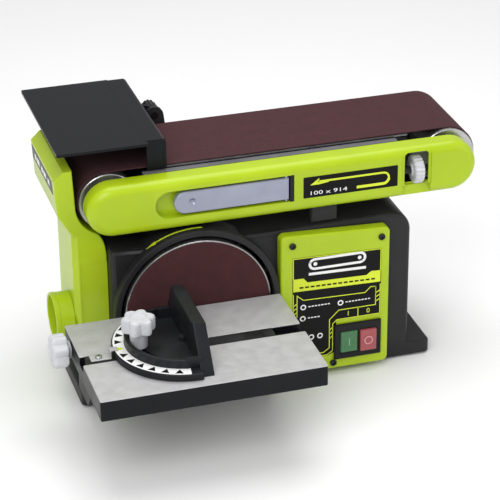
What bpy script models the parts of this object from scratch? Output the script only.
"""Belt and disc sander: a bench machine with a tilting 100 x 914 mm belt and a 150 mm disc.

Every place is measured from the centre of the disc's working face: X to the right along the
belt, Y to the back along the motor's shaft, Z up.  The empty "machine_datum" holds that point
above the middle of the machine's footprint, and one empty on each joint's axis carries the
pieces that move with it.  Metres throughout.
"""
import math

import bmesh
import bpy
from mathutils import Vector

# ---------------------------------------------------------------- driving dimensions (metres)
CLEAR = 0.0003              # air left between two pieces that rest on each other
SHEET = 0.003               # sheet steel of brackets and side plates

FLOOR_Z = -0.103            # bench top below the disc's centre
DISC_RADIUS = 0.075
DISC_PLATE_RADIUS = 0.0765
GUARD_RADIUS = 0.0868
GUARD_BORE = 0.0805

BASE_LEFT, BASE_RIGHT = -0.086, 0.233
BASE_FRONT, BASE_BACK = 0.014, 0.148
BASE_TOP = 0.070
BASE_WALL = 0.0035
FLANGE_LEFT, FLANGE_RIGHT = -0.122, 0.258
FLANGE_BACK = 0.156
FLANGE_BOTTOM, FLANGE_TOP = -0.1005, -0.086

BELT_WIDTH = 0.100
BELT_LENGTH = 0.914
BELT_THICK = 0.001
DRUM_RADIUS = 0.030
DRUM_X, DRUM_Z = -0.082, 0.117
BELT_FRONT = 0.038
BELT_BACK = BELT_FRONT + BELT_WIDTH
DRUM_FRONT, DRUM_BACK = 0.034, 0.1398
BELT_INNER = DRUM_RADIUS + CLEAR
BELT_OUTER = BELT_INNER + BELT_THICK
DRUM_SPACING = (BELT_LENGTH - math.pi * (BELT_INNER + BELT_OUTER)) / 2
IDLER_X = DRUM_X + DRUM_SPACING

COVER_RADIUS = 0.027
COVER_FRONT, COVER_BACK = 0.005, 0.028
COVER_RIGHT_X = IDLER_X - 0.0045   # centre of the cover's right end
COVER_WALL = 0.0025
SIDE_PLATE_FRONT, SIDE_PLATE_BACK = 0.029, 0.032
FRAME_PLATE_FRONT, FRAME_PLATE_BACK = 0.1412, 0.1455
SHAFT_RADIUS = 0.006
PIVOT_SLEEVE = 0.016

LEVER_PIVOT_X, LEVER_PIVOT_Y = 0.095, 0.0085
CARRIAGE_TRAVEL = 0.008
TRACK_Y = 0.014
TRACK_X = 0.2290

TABLE_LEFT, TABLE_RIGHT = -0.1398, 0.085
TABLE_FRONT, TABLE_BACK = -0.157, -0.0028
TABLE_TOP, TABLE_BOTTOM = 0.0059, -0.016
TABLE_PIVOT_Y, TABLE_PIVOT_Z = -0.030, -0.006
SLOT_Y, SLOT_WIDTH, SLOT_DEPTH = -0.077, 0.0166, 0.0084

MITRE_X = -0.038            # pivot of the mitre head
MITRE_RADIUS = 0.070
MITRE_KNOB_X = -0.082

STOP_LEFT, STOP_RIGHT, STOP_FOLD = -0.133, -0.021, -0.043
STOP_FRONT, STOP_BACK = 0.0265, 0.199
FOLD_FRONT, FOLD_BACK = 0.034, 0.197
STOP_TOP = 0.178
STOP_PIN_X, STOP_PIN_Z = -0.0055, 0.1555

LOCK_KNOB_LEFT = -0.160

PORT_Y, PORT_Z, PORT_RADIUS, PORT_WALL = 0.057, -0.015, 0.0250, 0.0025
PANEL_SCREWS = ((0.100, 0.055), (0.1962, 0.0515), (0.1450, -0.0885))
BENCH_BOLTS = ((-0.110, 0.120), (0.246, 0.060), (0.246, 0.115))
FOOT_PLACES = ((-0.108, 0.030), (0.244, 0.030), (-0.108, 0.142), (0.244, 0.142))

BELT_RIGHT = IDLER_X + BELT_OUTER
DATUM = (-(LOCK_KNOB_LEFT + BELT_RIGHT) / 2, -(TABLE_FRONT + STOP_BACK) / 2, -FLOOR_Z)

ROUND = 32                  # sides of a large turned piece
SMALL_ROUND = 20

# ---------------------------------------------------------------- finishes
FINISHES = {                # linear colour, metallic, roughness
    "lime_paint": ((0.50, 0.64, 0.025), 0.0, 0.35),
    "dark_casting": ((0.035, 0.035, 0.038), 0.0, 0.55),
    "black_steel": ((0.022, 0.023, 0.027), 0.0, 0.45),
    "abrasive": ((0.090, 0.045, 0.043), 0.0, 0.95),
    "bare_aluminium": ((0.50, 0.49, 0.48), 0.9, 0.40),
    "bare_steel": ((0.42, 0.42, 0.43), 0.9, 0.35),
    "grey_lever": ((0.30, 0.32, 0.42), 0.2, 0.40),
    "rubber": ((0.015, 0.015, 0.015), 0.0, 0.85),
    "pale_knob": ((0.68, 0.68, 0.70), 0.0, 0.40),
    "black_plastic": ((0.018, 0.018, 0.020), 0.0, 0.40),
    "green_button": ((0.06, 0.30, 0.10), 0.0, 0.35),
    "red_button": ((0.50, 0.05, 0.06), 0.0, 0.35),
}


# ---------------------------------------------------------------- scene and bodies
def clear_scene():
    for obj in list(bpy.data.objects):
        bpy.data.objects.remove(obj, do_unlink=True)


def new_collection(name):
    collection = bpy.data.collections.new(name)
    bpy.context.scene.collection.children.link(collection)
    return collection


clear_scene()
PARTS = new_collection("belt_disc_sander")
CUTTERS = new_collection("cutters")
EMPTIES = {}


def add_empty(name, place, parent=None):
    empty = bpy.data.objects.new(name, None)
    empty.location = place
    empty.parent = parent
    PARTS.objects.link(empty)
    return empty


MACHINE = add_empty("machine_datum", DATUM)


def add_body(name, axis_point):
    """An empty on the body's joint axis; the body's pieces hang on it."""
    EMPTIES[name] = add_empty("axis_" + name, axis_point, MACHINE)


def make_finishes():
    for name, (colour, metallic, roughness) in FINISHES.items():
        material = bpy.data.materials.new(name)
        material.use_nodes = True
        shader = material.node_tree.nodes["Principled BSDF"]
        shader.inputs["Base Color"].default_value = (*colour, 1.0)
        shader.inputs["Metallic"].default_value = metallic
        shader.inputs["Roughness"].default_value = roughness


# ---------------------------------------------------------------- placing
TURN_TO = {"Z": (0, 0, 0), "Y": (-math.pi / 2, 0, 0), "X": (0, math.pi / 2, 0)}
LAY_IN = {"XY": (0, 0, 0), "XZ": (math.pi / 2, 0, 0), "YZ": (math.pi / 2, 0, math.pi / 2)}


def place_part(name, mesh, place, turn, finish, body):
    """Puts a mesh into the model; a part with no finish is a cutter or a piece to be joined."""
    obj = bpy.data.objects.new(name, mesh)
    obj.rotation_euler = turn
    holder = EMPTIES[body] if body else MACHINE
    obj.parent = holder
    offset = Vector(holder.location) if body else Vector((0, 0, 0))
    obj.location = Vector(place) - offset
    if finish:
        PARTS.objects.link(obj)
        mesh.materials.append(bpy.data.materials[finish])
        mesh.shade_smooth()
        mesh.set_sharp_from_angle(angle=math.radians(35))
    else:
        CUTTERS.objects.link(obj)
        obj.hide_render = True
        obj.display_type = "WIRE"
    return obj


# ---------------------------------------------------------------- shapes
def box(name, low, high, finish=None, body=None, bevel=0.0, steps=2):
    size = [b - a for a, b in zip(low, high)]
    centre = [(a + b) / 2 for a, b in zip(low, high)]
    bm = bmesh.new()
    bmesh.ops.create_cube(bm, size=1.0)
    bmesh.ops.scale(bm, vec=size, verts=bm.verts)
    if bevel:
        bmesh.ops.bevel(bm, geom=bm.edges[:], offset=bevel, segments=steps,
                        profile=0.5, affect="EDGES")
    mesh = bpy.data.meshes.new(name)
    bm.to_mesh(mesh)
    bm.free()
    return place_part(name, mesh, centre, (0, 0, 0), finish, body)


def rod(name, start, axis, radius, length, finish=None, body=None, sides=SMALL_ROUND):
    """A cylinder from the point start, along +axis."""
    bm = bmesh.new()
    bmesh.ops.create_cone(bm, cap_ends=True, segments=sides, radius1=radius,
                          radius2=radius, depth=length)
    mesh = bpy.data.meshes.new(name)
    bm.to_mesh(mesh)
    bm.free()
    centre = list(start)
    centre["XYZ".index(axis)] += length / 2
    return place_part(name, mesh, centre, TURN_TO[axis], finish, body)


def turned(name, start, axis, profile, finish=None, body=None, sides=ROUND, ring=False):
    """Turns (radius, height) points about the axis.  The profile runs down its outer side."""
    mesh = bpy.data.meshes.new(name)
    count = len(profile)
    edges = [(i, i + 1) for i in range(count - 1)]
    if ring:
        edges.append((count - 1, 0))
    mesh.from_pydata([(radius, 0, height) for radius, height in profile], edges, [])
    obj = place_part(name, mesh, start, TURN_TO[axis], finish, body)
    screw = obj.modifiers.new("turn", "SCREW")
    screw.axis = "Z"
    screw.steps = sides
    screw.render_steps = sides
    screw.use_merge_vertices = True
    screw.merge_threshold = 0.00001
    return obj


def slab(name, loops, plane, low, high, finish=None, body=None):
    """A flat outline, with holes where loops lie inside it, from low to high across the plane."""
    curve = bpy.data.curves.new(name, "CURVE")
    curve.dimensions = "2D"
    curve.fill_mode = "BOTH"
    curve.extrude = (high - low) / 2
    for loop in loops:
        spline = curve.splines.new("POLY")
        spline.points.add(len(loop) - 1)
        for point, (u, v) in zip(spline.points, loop):
            point.co = (u, v, 0, 1)
        spline.use_cyclic_u = True
    flat = bpy.data.objects.new(name + "_outline", curve)
    CUTTERS.objects.link(flat)
    bpy.context.view_layer.update()
    graph = bpy.context.evaluated_depsgraph_get()
    mesh = bpy.data.meshes.new_from_object(flat.evaluated_get(graph))
    bpy.data.objects.remove(flat, do_unlink=True)
    bm = bmesh.new()
    bm.from_mesh(mesh)
    bmesh.ops.remove_doubles(bm, verts=bm.verts, dist=0.000002)
    bmesh.ops.recalc_face_normals(bm, faces=bm.faces)
    bm.to_mesh(mesh)
    bm.free()
    middle = (low + high) / 2
    place = {"XY": (0, 0, middle), "XZ": (0, middle, 0), "YZ": (middle, 0, 0)}[plane]
    return place_part(name, mesh, place, LAY_IN[plane], finish, body)


def combine(obj, other, operation):
    boolean = obj.modifiers.new(other.name, "BOOLEAN")
    boolean.operation = operation
    boolean.solver = "EXACT"
    boolean.object = other


def cut(obj, *others):
    for other in others:
        combine(obj, other, "DIFFERENCE")


def join(obj, *others):
    for other in others:
        combine(obj, other, "UNION")


# ---------------------------------------------------------------- outlines
def arc(cx, cy, radius, start, end, steps=8):
    """Points along an arc, angles in degrees, both ends included."""
    angles = [math.radians(start + (end - start) * i / steps) for i in range(steps + 1)]
    return [(cx + radius * math.cos(a), cy + radius * math.sin(a)) for a in angles]


def circle(cx, cy, radius, sides=SMALL_ROUND):
    return arc(cx, cy, radius, 0, 360 - 360 / sides, sides - 1)


def rounded_box(x0, y0, x1, y1, radius, steps=5):
    return (arc(x1 - radius, y1 - radius, radius, 0, 90, steps)
            + arc(x0 + radius, y1 - radius, radius, 90, 180, steps)
            + arc(x0 + radius, y0 + radius, radius, 180, 270, steps)
            + arc(x1 - radius, y0 + radius, radius, 270, 360, steps))


def stadium(x0, x1, y, radius, steps=16):
    """A long shape with round ends, whose end arcs are centred on x0 and x1."""
    return arc(x1, y, radius, -90, 90, steps) + arc(x0, y, radius, 90, 270, steps)


def capsule(ax, ay, ra, bx, by, rb, steps=16):
    """The outline of a belt round circle a and circle b."""
    away = math.degrees(math.atan2(ay - by, ax - bx))
    spread = 90 + math.degrees(math.asin((ra - rb) / math.hypot(ax - bx, ay - by)))
    return (arc(ax, ay, ra, away - spread, away + spread, steps)
            + arc(bx, by, rb, away + spread, away + 360 - spread, steps))


# ---------------------------------------------------------------- fixed base
def base_outline(inset):
    """Front view of the base: upright sides and a rounded shoulder at each top corner."""
    shoulder = 0.022 - inset
    left, right, top = BASE_LEFT + inset, BASE_RIGHT - inset, BASE_TOP - inset
    bottom = FLANGE_BOTTOM - (0.01 if inset else 0.0)
    return ([(left, bottom), (right, bottom)]
            + arc(right - shoulder, top - shoulder, shoulder, 0, 90, 6)
            + [(left, top)])


def make_base():
    base = slab("base_housing", [base_outline(0)], "XZ", BASE_FRONT, BASE_BACK, "dark_casting",
                "base")
    flange = box("base_flange", (FLANGE_LEFT, BASE_FRONT, FLANGE_BOTTOM),
                 (FLANGE_RIGHT, FLANGE_BACK, FLANGE_TOP), bevel=0.0015, steps=1)
    arch = rod("base_arch", (0, BASE_FRONT, 0), "Y", 0.0855, 0.020, sides=64)
    hollow = slab("base_hollow", [base_outline(BASE_WALL)], "XZ", BASE_FRONT + BASE_WALL,
                  BASE_BACK - BASE_WALL)
    join(base, flange, arch)
    cut(base, hollow)
    cut(base, rod("shaft_way", (0, BASE_FRONT - 0.01, 0), "Y", 0.017, 0.2))
    cut(base, box("switch_way", (0.1484, BASE_FRONT - 0.01, -0.0796), (0.1936, 0.03, -0.0474)))
    cut(base, rod("gland_way", (0.200, 0.135, -0.060), "Y", 0.0066, 0.02))
    for index, (x, z) in enumerate(PANEL_SCREWS):
        cut(base, rod(f"screw_way_{index}", (x, 0.005, z), "Y", 0.0021, 0.02, sides=16))
    for index, (x, y) in enumerate(BENCH_BOLTS):
        cut(base, rod(f"bolt_way_{index}", (x, y, FLANGE_BOTTOM - 0.01), "Z", 0.0035, 0.03,
                      sides=16))
    for index, (x, y) in enumerate(FOOT_PLACES):
        name = ("left_front", "right_front", "left_rear", "right_rear")[index]
        turned("foot_" + name, (x, y, FLOOR_Z), "Z",
               [(0, 0.0022), (0.008, 0.0022), (0.009, 0.001), (0.009, 0), (0, 0)],
               "rubber", "base", SMALL_ROUND)


def make_guard():
    """Ring round the disc; its lower half is a closed cup that catches the dust."""
    back, lip, face = BASE_FRONT - CLEAR, 0.002, -0.0035
    guard = turned("disc_guard", (0, back, 0), "Y",
                   [(0, face - back + 0.002), (GUARD_BORE, face - back + 0.002),
                    (GUARD_BORE, 0), (GUARD_RADIUS, 0), (GUARD_RADIUS, face - back),
                    (0, face - back)],
                   "dark_casting", "base", 64)
    reach = GUARD_RADIUS + 0.01
    cut(guard, box("guard_window", (-reach, face - 0.01, -0.020), (reach, lip, reach)))


def make_chute():
    """Hollow column at the belt's left end, with a deeper hood round the drum and a port."""
    front, column_back, hood_back, wall = 0.030, 0.102, 0.1405, 0.0027
    left, right, bottom = -0.121, BASE_LEFT - CLEAR, -0.060

    def column(inset):
        reach = 0.034 + inset
        return ([(left + inset, bottom + inset), (right - inset, bottom + inset),
                 (right - inset, 0.070)] + arc(DRUM_X, DRUM_Z, reach, 250, 205, 4)
                + [(left + inset, 0.1026)])

    def hood(inset):
        reach = 0.034 + inset
        return (arc(DRUM_X, DRUM_Z, reach, 238, 180, 5)
                + [(-0.118 - inset, 0.157 - inset), (-0.127 + inset / 2, 0.157 - inset),
                   (-0.1366 + inset, 0.148 - inset / 2), (-0.1345 + inset, 0.110 + inset / 4),
                   (-0.119 + inset, 0.083 + inset)])

    chute = slab("dust_chute", [column(0)], "XZ", front, column_back, "lime_paint", "base")
    join(chute, slab("chute_hood", [hood(0)], "XZ", front + 0.0001, hood_back))
    cut(chute, slab("column_hollow", [column(wall)], "XZ", front + wall, column_back - wall))
    cut(chute, slab("hood_hollow", [hood(wall)], "XZ", front + wall + 0.0001,
                    hood_back - wall))
    cut(chute, box("chute_mouth", (-0.126, 0.040, 0.098), (-0.100, 0.136, 0.150)))
    cut(chute, rod("port_way", (-0.130, PORT_Y, PORT_Z), "X", PORT_RADIUS - PORT_WALL, 0.02))
    port_end = -0.1405
    depth = left - CLEAR - port_end
    turned("dust_port", (port_end, PORT_Y, PORT_Z), "X",
           [(PORT_RADIUS, depth), (PORT_RADIUS, 0), (PORT_RADIUS - PORT_WALL, 0),
            (PORT_RADIUS - PORT_WALL, depth)], "lime_paint", "base", ROUND, ring=True)


def panel_outline(inset):
    """Front view of the control panel: round corners, and a top edge that falls to the right."""
    left, right, bottom = 0.0875 + inset, 0.2055 - inset, -0.096 + inset
    high, low, radius = 0.066 - inset, 0.0615 - inset, 0.006 - inset
    return (arc(right - radius, low - radius, radius, 0, 90, 4)
            + arc(left + radius, high - radius, radius, 90, 180, 4)
            + arc(left + radius, bottom + radius, radius, 180, 270, 4)
            + arc(right - radius, bottom + radius, radius, 270, 360, 4))


def make_panel():
    """Raised bezel on the base's front, with the switch let into it."""
    back = BASE_FRONT - CLEAR
    panel = slab("control_panel", [panel_outline(0)], "XZ",
                 0.002, back, "lime_paint", "base")
    cut(panel, slab("panel_hollow", [panel_outline(0.0025)], "XZ",
                    0.0045, back + 0.01))
    cut(panel, box("panel_switch_way", (0.1484, -0.01, -0.0796), (0.1936, 0.02, -0.0474)))
    for index, (x, z) in enumerate(PANEL_SCREWS):
        cut(panel, rod(f"panel_screw_way_{index}", (x, -0.005, z), "Y", 0.0021, 0.02, sides=16))
        turned(f"panel_screw_{index + 1}", (x, 0.0017, z), "Y",
               [(0, 0.016), (0.0018, 0.016), (0.0018, 0), (0.0036, 0), (0.003, -0.002),
                (0, -0.002)], "black_steel", "base", 16)
    switch = box("switch_body", (0.145, -0.001, -0.0845), (0.197, 0.0017, -0.0430),
                 "black_plastic", "base", bevel=0.0008, steps=1)
    join(switch, box("switch_case", (0.1487, 0.001, -0.0793), (0.1933, 0.034, -0.0477)))
    cut(switch, box("on_pocket", (0.1517, -0.01, -0.0773), (0.1713, 0.016, -0.0522)))
    cut(switch, box("off_pocket", (0.1727, -0.01, -0.0773), (0.1913, 0.016, -0.0522)))
    box("on_button", (0.152, -0.0015, -0.077), (0.171, 0.010, -0.0525), "green_button",
        "on_button", bevel=0.001)
    box("off_button", (0.173, -0.004, -0.077), (0.191, 0.010, -0.0525), "red_button",
        "off_button", bevel=0.001)


def make_motor():
    """Induction motor inside the base, on the disc's axis."""
    turned("motor_stator", (0, 0.048, 0), "Y",
           [(0.056, 0.064), (0.056, 0), (0.031, 0), (0.031, 0.064)], "bare_steel", "base",
           ROUND, ring=True)
    turned("motor_rotor", (0, 0.050, 0), "Y",
           [(0.0305, 0.060), (0.0305, 0), (0.0078, 0), (0.0078, 0.060)], "bare_steel",
           "spindle", ROUND, ring=True)
    rod("motor_shaft", (0, 0.0035, 0), "Y", 0.0075, 0.1765, "bare_steel", "spindle")
    turned("motor_front_bracket", (0, 0.018, 0), "Y",
           [(0.058, 0.0297), (0.058, 0), (0.0163, 0), (0.0163, 0.010), (0.022, 0.010),
            (0.022, 0.004), (0.055, 0.004), (0.055, 0.0297)], "bare_aluminium", "base",
           ROUND, ring=True)
    turned("motor_rear_bracket", (0, 0.1123, 0), "Y",
           [(0.058, 0.0157), (0.058, 0), (0.055, 0), (0.055, 0.0117), (0.022, 0.0117),
            (0.022, 0.0057), (0.0163, 0.0057), (0.0163, 0.0157)], "bare_aluminium", "base",
           ROUND, ring=True)
    for name, start in (("motor_front_bearing", 0.0183), ("motor_rear_bearing", 0.1183)):
        turned(name, (0, start, 0), "Y",
               [(0.016, 0.009), (0.016, 0), (0.0078, 0), (0.0078, 0.009)], "bare_steel",
               "base", SMALL_ROUND, ring=True)
    fan = turned("cooling_fan", (0, 0.1300, 0), "Y",
                 [(0.045, 0.0025), (0.045, 0), (0.0078, 0), (0.0078, 0.010), (0.013, 0.010),
                  (0.013, 0.0025)], "black_plastic", "spindle", ROUND, ring=True)
    blades = 6
    for index in range(blades):
        blade = box(f"fan_blade_{index}", (0.012, -0.001, 0.001), (0.044, 0.001, 0.010))
        blade.rotation_euler = (-math.pi / 2, 2 * math.pi * index / blades, 0)
        reach = 0.028
        turn = 2 * math.pi * index / blades
        blade.location = (reach * math.cos(turn), 0.1355, -reach * math.sin(turn))
        join(fan, blade)
    rod("motor_capacitor", (0.150, 0.050, -0.010), "Y", 0.018, 0.065, "bare_aluminium", "base")


def make_disc():
    turned("disc_plate", (0, 0.0015, 0), "Y",
           [(0, 0.0012), (0.0078, 0.0012), (0.0078, 0.015), (0.015, 0.015), (0.015, 0.0075),
            (DISC_PLATE_RADIUS, 0.0075), (DISC_PLATE_RADIUS, 0), (0, 0)], "bare_aluminium",
           "spindle", 64)
    rod("sanding_disc", (0, 0, 0), "Y", DISC_RADIUS, 0.0012, "abrasive", "spindle", 64)


def make_drive():
    """Ribbed belt from the motor's rear end up to the drive drum, under a rear cover."""
    pulley_start = 0.161
    for name, x, z, radius, bore, body in (
            ("motor_pulley", 0, 0, 0.012, 0.0078, "spindle"),
            ("drum_pulley", DRUM_X, DRUM_Z, 0.022, SHAFT_RADIUS + CLEAR, "drive_drum")):
        turned(name, (x, pulley_start, z), "Y",
               [(radius + 0.003, 0.016), (radius + 0.003, 0.0145), (radius, 0.0145),
                (radius, 0.0015), (radius + 0.003, 0.0015), (radius + 0.003, 0), (bore, 0),
                (bore, 0.016)], "bare_aluminium", body, 32, ring=True)
    outer = capsule(0, 0, 0.0145, DRUM_X, DRUM_Z, 0.0245)
    inner = capsule(0, 0, 0.0123, DRUM_X, DRUM_Z, 0.0223)
    slab("drive_belt", [outer, inner], "XZ", 0.1633, 0.1747, "rubber", "base")
    plate = slab("drive_housing",
                 [capsule(0, 0, 0.042, DRUM_X, DRUM_Z, 0.028), circle(0, 0, 0.017),
                  circle(DRUM_X, DRUM_Z, PIVOT_SLEEVE + CLEAR, 32)],
                 "XZ", BASE_BACK + CLEAR, 0.1527, "dark_casting", "base")
    join(plate, box("housing_foot", (-0.036, BASE_BACK + CLEAR, -0.070), (0.036, 0.1527, -0.025)))
    cover = slab("drive_cover", [capsule(0, 0, 0.042, DRUM_X, DRUM_Z, 0.027)], "XZ", 0.153,
                 0.186, "dark_casting", "base")
    cut(cover, slab("drive_cover_hollow", [capsule(0, 0, 0.0395, DRUM_X, DRUM_Z, 0.0255)],
                    "XZ", 0.14, 0.1835))


def make_supports():
    box("support_post", (0.124, 0.016, BASE_TOP + CLEAR), (0.153, 0.034, 0.0900),
        "dark_casting", "base", bevel=0.0015, steps=1)
    turned("cord_gland", (0.200, BASE_BACK + CLEAR, -0.060), "Y",
           [(0.0055, 0.020), (0.009, 0.002), (0.009, 0), (0.0063, 0), (0.0063, -0.004),
            (0.004, -0.004), (0.004, 0.020)], "rubber", "base", SMALL_ROUND, ring=True)
    for side, low, back in (("left", -0.1217, 0.0285), ("right", 0.076, BASE_FRONT - CLEAR)):
        bottom = FLANGE_TOP + CLEAR
        outline = ([(-0.012, bottom), (back, bottom), (back, -0.066), (-0.014, -0.048)]
                   + arc(TABLE_PIVOT_Y, TABLE_PIVOT_Z, 0.0075, 0, 180, 8)
                   + [(-0.032, -0.060)])
        bracket = slab("table_bracket_" + side, [outline], "YZ", low, low + SHEET,
                       "black_steel", "base")
        if side == "left":
            join(bracket, box("left_foot_tab", (low, 0.0145, bottom),
                              (-0.100, back, bottom + SHEET)))
            cut(bracket, rod("left_bolt_way", (low - 0.01, TABLE_PIVOT_Y, TABLE_PIVOT_Z), "X",
                             0.0043, 0.02))
        else:
            join(bracket, box("right_foot_tab", (0.064, back - SHEET, bottom),
                              (low + SHEET, back, -0.072)))
            join(bracket, rod("right_pin", (low + 0.001, TABLE_PIVOT_Y, TABLE_PIVOT_Z), "X",
                              0.004, 0.012))


# ---------------------------------------------------------------- tilting belt unit
def make_belt_frame():
    """Casting behind the belt, with a beam that fills the loop and a lug for the work stop."""
    plate = stadium(DRUM_X, 0.203, DRUM_Z, 0.025)
    frame = slab("belt_frame", [plate], "XZ", FRAME_PLATE_FRONT, FRAME_PLATE_BACK,
                 "dark_casting", "belt_frame")
    lug = slab("stop_lug", [[(-0.018, 0.130), (0.0075, 0.130)]
                            + arc(STOP_PIN_X, STOP_PIN_Z, 0.010, 0, 180, 8)], "XZ",
               FRAME_PLATE_FRONT, FRAME_PLATE_BACK)
    beam = box("frame_beam", (-0.038, BELT_FRONT + 0.0006, 0.092), (0.229, 0.143, 0.1433))
    sleeve = rod("pivot_sleeve", (DRUM_X, 0.143, DRUM_Z), "Y", PIVOT_SLEEVE, 0.009, sides=32)
    join(frame, lug, beam, sleeve)
    cut(frame, box("beam_hollow", (-0.035, BELT_FRONT + 0.0036, 0.080),
                   (0.226, 0.1382, 0.1403)))
    cut(frame, box("carriage_way", (0.220, 0.0767, 0.1067), (0.240, 0.0993, 0.1273)))
    cut(frame, rod("bearing_way", (DRUM_X, 0.130, DRUM_Z), "Y", 0.0103, 0.030))
    cut(frame, rod("stop_bolt_way", (STOP_PIN_X, 0.135, STOP_PIN_Z), "Y", 0.0043, 0.02))
    join(frame, box("spring_seat", (0.098, 0.070, 0.105), (0.102, 0.106, 0.142)))
    box("platen", (-0.040, BELT_FRONT + 0.0005, 0.1436), (0.236, BELT_BACK - 0.0005, 0.1466),
        "bare_steel", "belt_frame", bevel=0.0008, steps=1)


def make_belt_and_drums():
    outer = stadium(DRUM_X, IDLER_X, DRUM_Z, BELT_OUTER, 20)
    inner = stadium(DRUM_X, IDLER_X, DRUM_Z, BELT_INNER, 20)
    slab("sanding_belt", [outer, inner], "XZ", BELT_FRONT, BELT_BACK, "abrasive", "belt_frame")
    length = DRUM_BACK - DRUM_FRONT
    for name, x, bore, body in (("drive_drum", DRUM_X, SHAFT_RADIUS + CLEAR, "drive_drum"),
                                ("idler_drum", IDLER_X, 0.0053, "idler_drum")):
        turned(name, (x, DRUM_FRONT, DRUM_Z), "Y",
               [(DRUM_RADIUS - 0.0008, length), (DRUM_RADIUS, length - 0.0008),
                (DRUM_RADIUS, 0.0008), (DRUM_RADIUS - 0.0008, 0), (bore, 0), (bore, length)],
               "bare_aluminium", body, 48, ring=True)
    rod("drum_shaft", (DRUM_X, 0.0285, DRUM_Z), "Y", SHAFT_RADIUS, 0.152, "bare_steel",
        "drive_drum")
    for name, start, outside in (("drum_front_bearing", SIDE_PLATE_FRONT, 0.012),
                                 ("drum_rear_bearing", 0.1415, 0.010)):
        turned(name, (DRUM_X, start, DRUM_Z), "Y",
               [(outside, 0.0045), (outside, 0), (SHAFT_RADIUS + CLEAR, 0),
                (SHAFT_RADIUS + CLEAR, 0.0045)], "bare_steel", "belt_frame", SMALL_ROUND,
               ring=True)
    rod("idler_shaft", (IDLER_X, 0.0287, DRUM_Z), "Y", 0.005, 0.116, "bare_steel",
        "idler_carriage")


def make_side_cover():
    """Long green cover on the front of the belt unit, over its steel side plate."""
    cover = slab("front_side_cover", [stadium(DRUM_X, COVER_RIGHT_X, DRUM_Z, COVER_RADIUS)], "XZ",
                 COVER_FRONT, COVER_BACK, "lime_paint", "belt_frame")
    hollow = slab("cover_hollow",
                  [stadium(DRUM_X, COVER_RIGHT_X, DRUM_Z,
                           COVER_RADIUS - COVER_WALL)], "XZ",
                  COVER_FRONT + COVER_WALL, COVER_BACK + 0.01)
    edge = cover.modifiers.new("front_edge", "BEVEL")
    edge.width = 0.004
    edge.segments = 2
    edge.limit_method = "ANGLE"
    edge.angle_limit = math.radians(60)
    cut(cover, hollow)
    middle = DRUM_Z + 0.0015

    def pocket_outline(radius, right):
        return (arc(-0.0265, middle, radius, 90, 270, 14)
                + [(right, middle - radius), (right, middle + radius)])

    join(cover, slab("lever_pocket_wall", [pocket_outline(0.0175, 0.1055)], "XZ",
                     COVER_FRONT + 0.0008, 0.0175))
    cut(cover, slab("lever_pocket", [pocket_outline(0.0145, 0.1025)], "XZ", 0.0, 0.015))
    cut(cover, rod("lever_pin_way", (LEVER_PIVOT_X, LEVER_PIVOT_Y, 0.1015), "Z", 0.0023, 0.034,
                   sides=16))
    cut(cover, slab("tracking_window", [rounded_box(0.221, 0.1028, 0.247, 0.1345, 0.004)],
                    "XZ", -0.002, 0.012))
    side = slab("front_side_plate",
                [arc(DRUM_X, DRUM_Z, 0.024, 90, 270, 12) + [(0.222, 0.093), (0.222, 0.1425)],
                 circle(DRUM_X, DRUM_Z, 0.0123)],
                "XZ", SIDE_PLATE_FRONT, SIDE_PLATE_BACK, "black_steel", "belt_frame")
    join(side, box("plate_top_flange", (-0.046, 0.0292, 0.1405), (0.2215, 0.0370, 0.1440)))
    join(side, box("screw_lug", (0.207, 0.0080, 0.109), (0.213, 0.030, 0.125)))
    join(side, box("plate_tie_left", (-0.030, 0.031, 0.100), (-0.010, 0.0383, 0.134)))
    join(side, box("plate_tie_right", (0.190, 0.031, 0.100), (0.214, 0.0383, 0.134)))
    cut(side, rod("track_screw_way", (0.200, TRACK_Y, DRUM_Z), "X", 0.0043, 0.02, sides=16))


def make_lever():
    middle = DRUM_Z + 0.0015
    half = 0.012
    lever = slab("tension_lever",
                 [arc(-0.0097, middle, half, 90, 270, 10)
                  + [(LEVER_PIVOT_X + 0.005, middle - half),
                     (LEVER_PIVOT_X + 0.005, middle + half)]],
                 "XZ", 0.0055, 0.0115, "grey_lever", "tension_lever")
    join(lever, rod("lever_pin", (LEVER_PIVOT_X, LEVER_PIVOT_Y, 0.1020), "Z", 0.002, 0.033,
                    sides=16))


def make_tracking():
    turned("tracking_knob", (TRACK_X, TRACK_Y, DRUM_Z), "X",
           [(0, 0.027), (0.004, 0.027), (0.004, 0.0165), (0.0135, 0.0165), (0.0148, 0.015),
            (0.0148, 0.0015), (0.0135, 0), (0.004, 0), (0.004, -0.0195), (0, -0.0195)],
           "pale_knob", "tracking_knob", 32)


def make_carriage():
    """Sprung fork that carries the idler drum and keeps the belt tight."""
    carriage = box("idler_carriage", (0.150, 0.077, 0.107), (0.2410, 0.099, 0.127),
                   "bare_aluminium", "idler_carriage")
    cross = box("carriage_cross", (0.2385, 0.0335, 0.105), (0.2452, 0.1435, 0.129))
    join(carriage, cross)
    reach = IDLER_X + 0.010
    for name, low, high in (("front_arm", 0.0296, 0.0336), ("rear_arm", 0.1402, 0.1442)):
        join(carriage, box(name, (0.2440, low, 0.106), (reach, high, 0.128)))
    join(carriage, box("tracking_ear", (0.266, 0.0090, 0.109), (0.270, 0.0300, 0.125)))
    cut(carriage, rod("idler_shaft_way", (IDLER_X, 0.02, DRUM_Z), "Y", 0.0053, 0.15))


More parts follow.
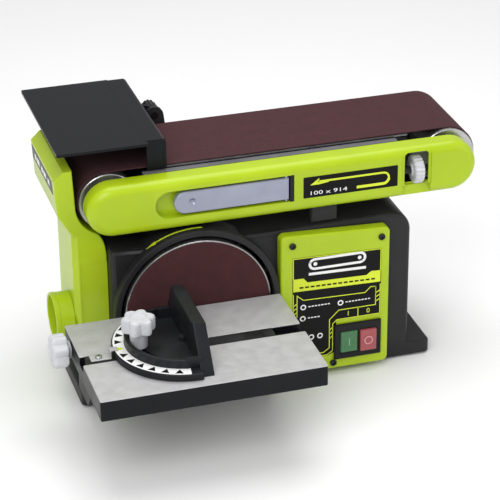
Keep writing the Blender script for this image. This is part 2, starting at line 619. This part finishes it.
def make_spring():
    """Compression spring between the frame's seat and the carriage."""
    turns, radius, wire = 6, 0.0065, 0.0012
    start, end = 0.1035, 0.1485
    steps = turns * 12
    curve = bpy.data.curves.new("tension_spring", "CURVE")
    curve.dimensions = "3D"
    curve.bevel_depth = wire
    curve.bevel_resolution = 0
    curve.use_fill_caps = True
    spline = curve.splines.new("POLY")
    spline.points.add(steps)
    for index, point in enumerate(spline.points):
        turn = 2 * math.pi * turns * index / steps
        along = start + (end - start) * index / steps
        point.co = (along, 0.088 + radius * math.cos(turn), DRUM_Z + radius * math.sin(turn), 1)
    spring = bpy.data.objects.new("tension_spring", curve)
    spring.parent = EMPTIES["belt_frame"]
    spring.location = -Vector(EMPTIES["belt_frame"].location)
    curve.materials.append(bpy.data.materials["bare_steel"])
    PARTS.objects.link(spring)


def make_work_stop():
    """Black steel angle over the belt's left end, clamped at the back of the belt unit."""
    sheet, hidden = SHEET, 0.0004
    right, top = STOP_RIGHT, STOP_TOP
    plate = [(STOP_LEFT, STOP_FRONT), (STOP_FOLD, STOP_FRONT), (STOP_FOLD, FOLD_FRONT),
             (right, FOLD_FRONT), (right, FOLD_BACK), (STOP_FOLD, FOLD_BACK),
             (STOP_FOLD, STOP_BACK), (STOP_LEFT, STOP_BACK)]
    stop = slab("work_stop", [plate], "XY", top - sheet, top, "black_steel", "work_stop")
    flange = box("stop_flange", (right - sheet, FOLD_FRONT + hidden, 0.1495),
                 (right - hidden, FOLD_BACK - hidden, top - hidden))
    gusset = box("stop_gusset", (right - 0.020, FOLD_FRONT + 2 * hidden, 0.1455),
                 (right - 2 * hidden, FOLD_FRONT + sheet, top - 2 * hidden))
    tab = slab("stop_tab", [[(right - 0.002, 0.1510)]
                            + arc(STOP_PIN_X, STOP_PIN_Z, 0.0085, -70, 90, 6)
                            + [(right - 0.002, 0.1690)]], "XZ", 0.1462, 0.1462 + sheet)
    join(stop, flange, gusset, tab)
    cut(stop, rod("stop_tab_way", (STOP_PIN_X, 0.140, STOP_PIN_Z), "Y", 0.0043, 0.02))
    turned("work_stop_knob", (STOP_PIN_X, 0.1415, STOP_PIN_Z), "Y",
           [(0, 0.028), (0.0072, 0.028), (0.0082, 0.0265), (0.0082, 0.012), (0.006, 0.009),
            (0.004, 0.0082), (0.004, 0), (0, 0)], "black_plastic", "work_stop_knob", 24)


# ---------------------------------------------------------------- disc table and mitre gauge
def make_table():
    skirt = SHEET
    table = box("disc_table", (TABLE_LEFT, TABLE_FRONT, TABLE_BOTTOM),
                (TABLE_RIGHT, TABLE_BACK, TABLE_TOP), "bare_aluminium", "disc_table")
    edge = table.modifiers.new("edge", "BEVEL")
    edge.width = 0.0008
    edge.segments = 1
    cut(table, box("table_hollow", (TABLE_LEFT + skirt, TABLE_FRONT + skirt, TABLE_BOTTOM - 0.01),
                   (TABLE_RIGHT - skirt, TABLE_BACK + 0.01, TABLE_TOP - 0.004)))
    half = SLOT_WIDTH / 2
    join(table, box("slot_rib", (TABLE_LEFT + 0.001, SLOT_Y - half - 0.004, -0.0065),
                    (TABLE_RIGHT - 0.001, SLOT_Y + half + 0.004, 0.003)))
    cut(table, box("mitre_slot", (TABLE_LEFT - 0.01, SLOT_Y - half, TABLE_TOP - SLOT_DEPTH),
                   (TABLE_RIGHT + 0.01, SLOT_Y + half, TABLE_TOP + 0.01)))
    cut(table, rod("pivot_way", (TABLE_LEFT - 0.01, TABLE_PIVOT_Y, TABLE_PIVOT_Z), "X", 0.0043,
                   0.25))
    knob_face = TABLE_LEFT - 0.0008
    turned("table_lock_knob", (knob_face, TABLE_PIVOT_Y, TABLE_PIVOT_Z), "X",
           [(0, 0.024), (0.004, 0.024), (0.004, 0), (0.0175, -0.002),
            (0.0175, -0.015), (0.015, LOCK_KNOB_LEFT - knob_face),
            (0, LOCK_KNOB_LEFT - knob_face)], "pale_knob", "table_lock_knob", 32)


def make_mitre():
    """Sliding bar, swivelling half-round head with a fence, pointer and clamp knob."""
    bar_top = TABLE_TOP
    bar = box("mitre_bar", (-0.135, SLOT_Y - 0.008, TABLE_TOP - SLOT_DEPTH + CLEAR),
              (0.055, SLOT_Y + 0.008, bar_top), "bare_steel", "mitre_gauge")
    join(bar, rod("mitre_pin", (MITRE_X, SLOT_Y, 0.004), "Z", 0.004, 0.013))
    cut(bar, rod("clamp_stud_way", (MITRE_KNOB_X, SLOT_Y, -0.01), "Z", 0.0033, 0.03))
    low = bar_top + CLEAR
    deck = low + 0.007
    head = slab("mitre_head", [arc(MITRE_X, SLOT_Y, MITRE_RADIUS, 90, 270, 28)
                               + [(MITRE_X + 0.002, SLOT_Y - MITRE_RADIUS),
                                  (MITRE_X + 0.002, SLOT_Y + MITRE_RADIUS)]],
                "XY", low, deck, "black_plastic", "mitre_head")
    rib = slab("head_rib", [arc(MITRE_X, SLOT_Y, 0.0575, 95, 265, 20)
                            + arc(MITRE_X, SLOT_Y, 0.0535, 265, 95, 20)], "XY", deck - 0.001,
               deck + 0.009)
    fence_back = SLOT_Y + 0.069
    fence_front = SLOT_Y - 0.065
    fence = slab("head_fence", [[(fence_front, low), (fence_back, low),
                                 (fence_back - 0.022, 0.048), (fence_front + 0.030, 0.048)]],
                 "YZ", MITRE_X + 0.001, MITRE_X + 0.014)
    join(head, rib, fence)
    cut(head, rod("head_pin_way", (MITRE_X, SLOT_Y, -0.001), "Z", 0.0043, 0.019))
    clamp = MITRE_X - MITRE_KNOB_X
    cut(head, slab("clamp_slot", [arc(MITRE_X, SLOT_Y, clamp + 0.0036, 116, 244, 20)
                                  + arc(MITRE_X, SLOT_Y, clamp - 0.0036, 244, 116, 20)],
                   "XY", 0.0, 0.03))
    turned("mitre_knob", (MITRE_KNOB_X, SLOT_Y, 0), "Z",
           [(0, 0.049), (0.014, 0.049), (0.017, 0.046), (0.017, 0.033), (0.014, 0.030),
            (0.009, 0.029), (0.0075, deck + CLEAR), (0.003, deck + CLEAR), (0.003, 0.0),
            (0, 0.0)], "pale_knob", "mitre_knob", SMALL_ROUND)
    pointer = box("mitre_pointer", (-0.131, SLOT_Y - 0.0055, low), (-0.1105, SLOT_Y + 0.0055,
                                                                    low + 0.0012),
                  "bare_steel", "mitre_gauge")
    join(pointer, box("pointer_riser", (-0.1117, SLOT_Y - 0.0045, low),
                      (-0.1105, SLOT_Y + 0.0045, deck + 0.0016)))
    join(pointer, box("pointer_tip", (-0.1117, SLOT_Y - 0.0035, deck + 0.0004),
                      (-0.1035, SLOT_Y + 0.0035, deck + 0.0016)))


# ---------------------------------------------------------------- build
def add_bodies():
    drum_axis = (DRUM_X, 0, DRUM_Z)
    stop_pin = (STOP_PIN_X, 0, STOP_PIN_Z)
    table_axis = (0, TABLE_PIVOT_Y, TABLE_PIVOT_Z)
    mitre_axis = (MITRE_X, SLOT_Y, TABLE_TOP)
    for name, axis_point in (
            ("base", (0, 0, 0)), ("spindle", (0, 0, 0)), ("belt_frame", drum_axis),
            ("drive_drum", drum_axis), ("idler_carriage", (IDLER_X, 0, DRUM_Z)),
            ("idler_drum", (IDLER_X, 0, DRUM_Z)),
            ("tension_lever", (LEVER_PIVOT_X, LEVER_PIVOT_Y, DRUM_Z)),
            ("tracking_knob", (TRACK_X, TRACK_Y, DRUM_Z)), ("work_stop", stop_pin),
            ("work_stop_knob", stop_pin), ("disc_table", table_axis),
            ("table_lock_knob", table_axis), ("mitre_gauge", mitre_axis),
            ("mitre_head", mitre_axis), ("mitre_knob", (MITRE_KNOB_X, SLOT_Y, TABLE_TOP)),
            ("on_button", (0.1615, 0, -0.065)), ("off_button", (0.182, 0, -0.065))):
        add_body(name, axis_point)


make_finishes()
add_bodies()
make_base()
make_guard()
make_chute()
make_panel()
make_motor()
make_disc()
make_drive()
make_supports()
make_belt_frame()
make_belt_and_drums()
make_side_cover()
make_lever()
make_tracking()
make_carriage()
make_spring()
make_work_stop()
make_table()
make_mitre()
